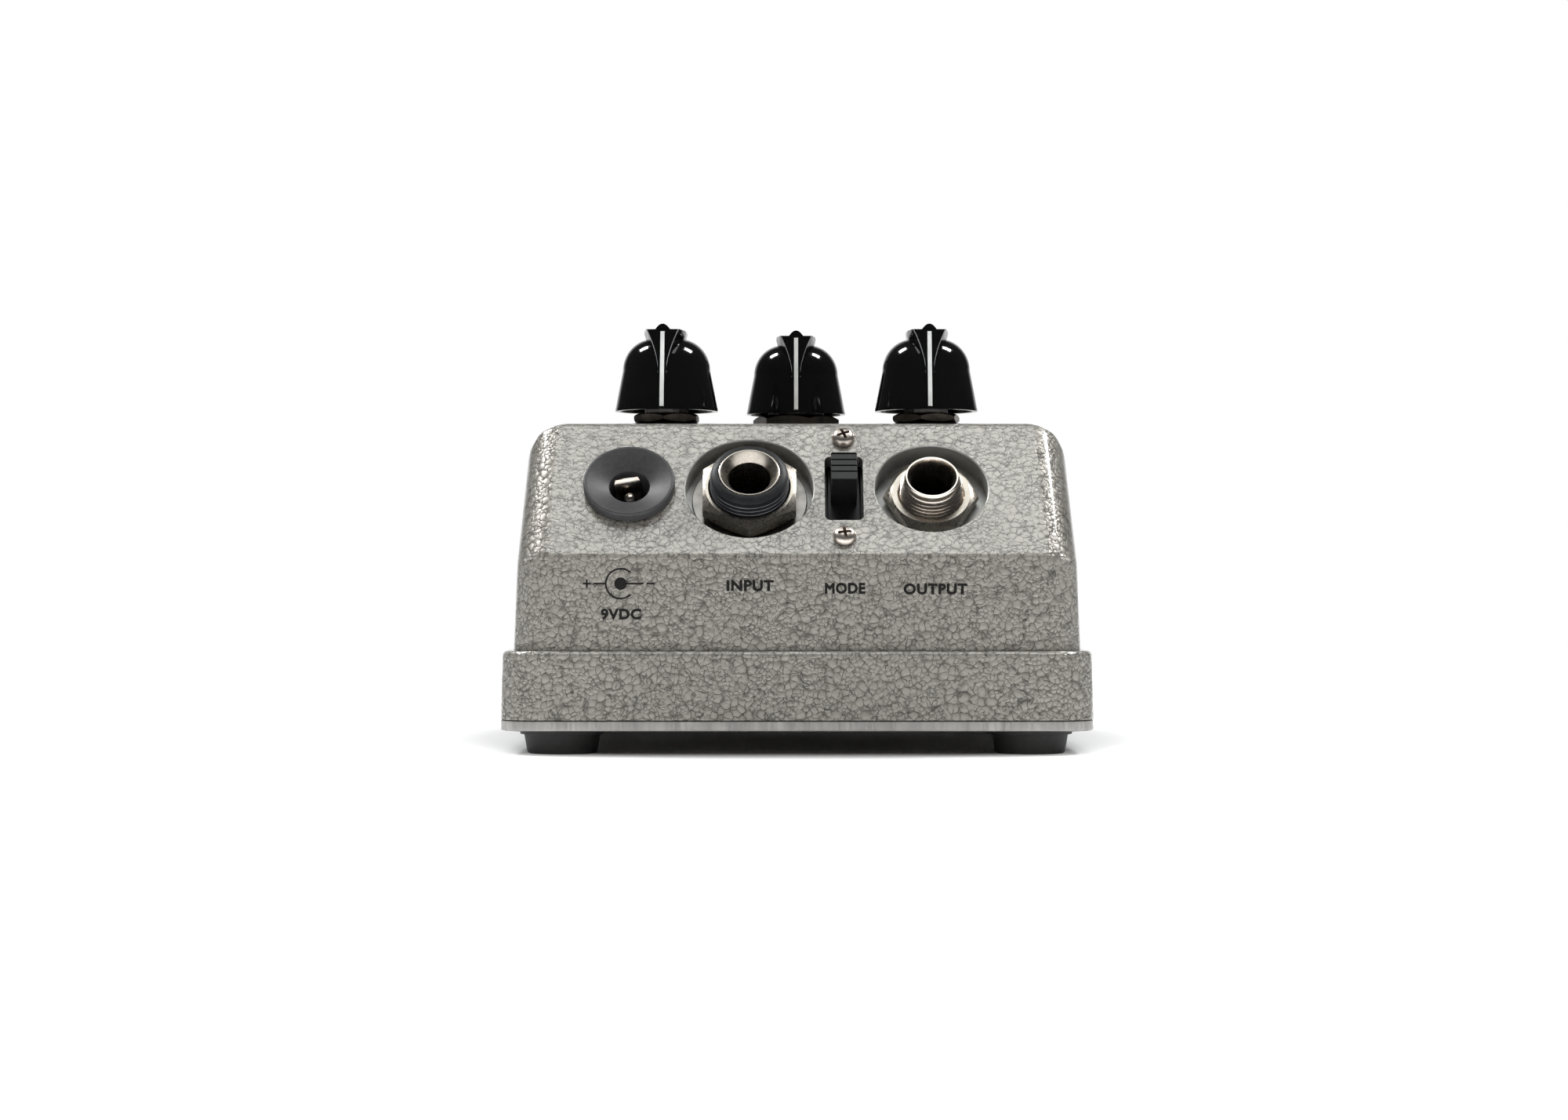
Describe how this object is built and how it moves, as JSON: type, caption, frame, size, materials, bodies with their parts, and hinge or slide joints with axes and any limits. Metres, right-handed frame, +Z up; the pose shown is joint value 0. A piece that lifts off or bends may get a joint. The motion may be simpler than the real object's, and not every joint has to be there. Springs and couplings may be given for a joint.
{
  "type": "guitar effects pedal",
  "caption": "Die-cast stomp box with a sloping jack panel, pointer knobs, phone jacks, power inlet, slide switch, lamp and stomp switch, with its board and battery inside.",
  "frame": {"origin": "middle of the footprint on the surface that the feet stand on", "axes": "+Z up; -Y is the rear end with the sloping jack panel; +Y is the player's end with the stomp switch; +X is to the right for someone who looks at the jack panel"},
  "size_m": [0.0904, 0.124, 0.0681],
  "materials": {
    "hammertone": "grey hammertone paint over a die-cast aluminium case",
    "bare_aluminium": "bare sheet, linished on its edges",
    "gloss_black": "moulded gloss black with a white pointer line",
    "satin_black": "satin black moulding",
    "rubber": "black moulded rubber",
    "nickel": "bright nickel plate",
    "steel": "plated steel",
    "board_green": "green solder mask on fibreglass",
    "lamp_red": "clear red",
    "ribbon_grey": "grey flat cable"
  },
  "bodies": {
    "case": {"enclosure": "hammertone", "base_plate": "bare_aluminium", "input_jack_body": "satin_black", "output_jack_block": "satin_black", "power_jack_body": "satin_black", "power_jack_nut": "satin_black", "slide_switch_body": "satin_black", "stomp_switch_washer": "satin_black", "stomp_switch_body": "satin_black", "transistor_1": "satin_black", "transistor_2": "satin_black", "transistor_3": "satin_black", "capacitor_1": "satin_black", "capacitor_2": "satin_black", "capacitor_3": "satin_black", "amplifier_chip": "satin_black", "battery": "satin_black", "battery_snap": "satin_black", "foot_rear_left": "rubber", "foot_rear_right": "rubber", "foot_front_left": "rubber", "foot_front_right": "rubber", "input_jack_liner": "nickel", "input_jack_contact": "nickel", "input_jack_nut": "nickel", "output_jack_bushing": "nickel", "output_jack_contact": "nickel", "output_jack_nut": "nickel", "power_jack_pin": "nickel", "power_jack_contact": "nickel", "slide_switch_screw_lower": "nickel", "slide_switch_screw_upper": "nickel", "lamp_bezel": "nickel", "stomp_switch_bushing": "nickel", "stomp_switch_nut": "nickel", "foot_screw_rear_left": "steel", "foot_screw_rear_right": "steel", "foot_screw_front_left": "steel", "foot_screw_front_right": "steel", "input_jack_washer": "steel", "pot_body_left": "steel", "pot_body_middle": "steel", "pot_body_right": "steel", "pot_washer_left": "steel", "pot_washer_middle": "steel", "pot_washer_right": "steel", "pot_nut_left": "steel", "pot_nut_middle": "steel", "pot_nut_right": "steel", "main_board": "board_green", "lamp_lens": "lamp_red", "ribbon_cable": "ribbon_grey"},
    "left_knob": {"knob_left": "gloss_black", "pot_shaft_left": "steel"},
    "middle_knob": {"knob_middle": "gloss_black", "pot_shaft_middle": "steel"},
    "right_knob": {"knob_right": "gloss_black", "pot_shaft_right": "steel"},
    "mode_slider": {"slide_switch_slider": "satin_black"},
    "stomp_button": {"stomp_switch_button": "nickel"}
  },
  "joints": [
    {"name": "knob_left_turn", "type": "hinge", "parent": "case", "child": "left_knob", "pos_m": [-0.0209, -0.027, 0.0535], "axis": [0, 0, 1], "range_deg": [-150, 150]},
    {"name": "knob_middle_turn", "type": "hinge", "parent": "case", "child": "middle_knob", "pos_m": [0, -0.006, 0.0541], "axis": [0, 0, 1], "range_deg": [-150, 150]},
    {"name": "knob_right_turn", "type": "hinge", "parent": "case", "child": "right_knob", "pos_m": [0.0209, -0.027, 0.0535], "axis": [0, 0, 1], "range_deg": [-150, 150]},
    {"name": "mode_switch_slide", "type": "slide", "parent": "case", "child": "mode_slider", "axis": [0, -0.6347, -0.7728], "range_m": [0, 0.004]},
    {"name": "stomp_switch_press", "type": "slide", "parent": "case", "child": "stomp_button", "axis": [0, 0, -1], "range_m": [0, 0.0035], "stiffness_N_per_m": 2000, "springref_m": -0.002}
  ]
}
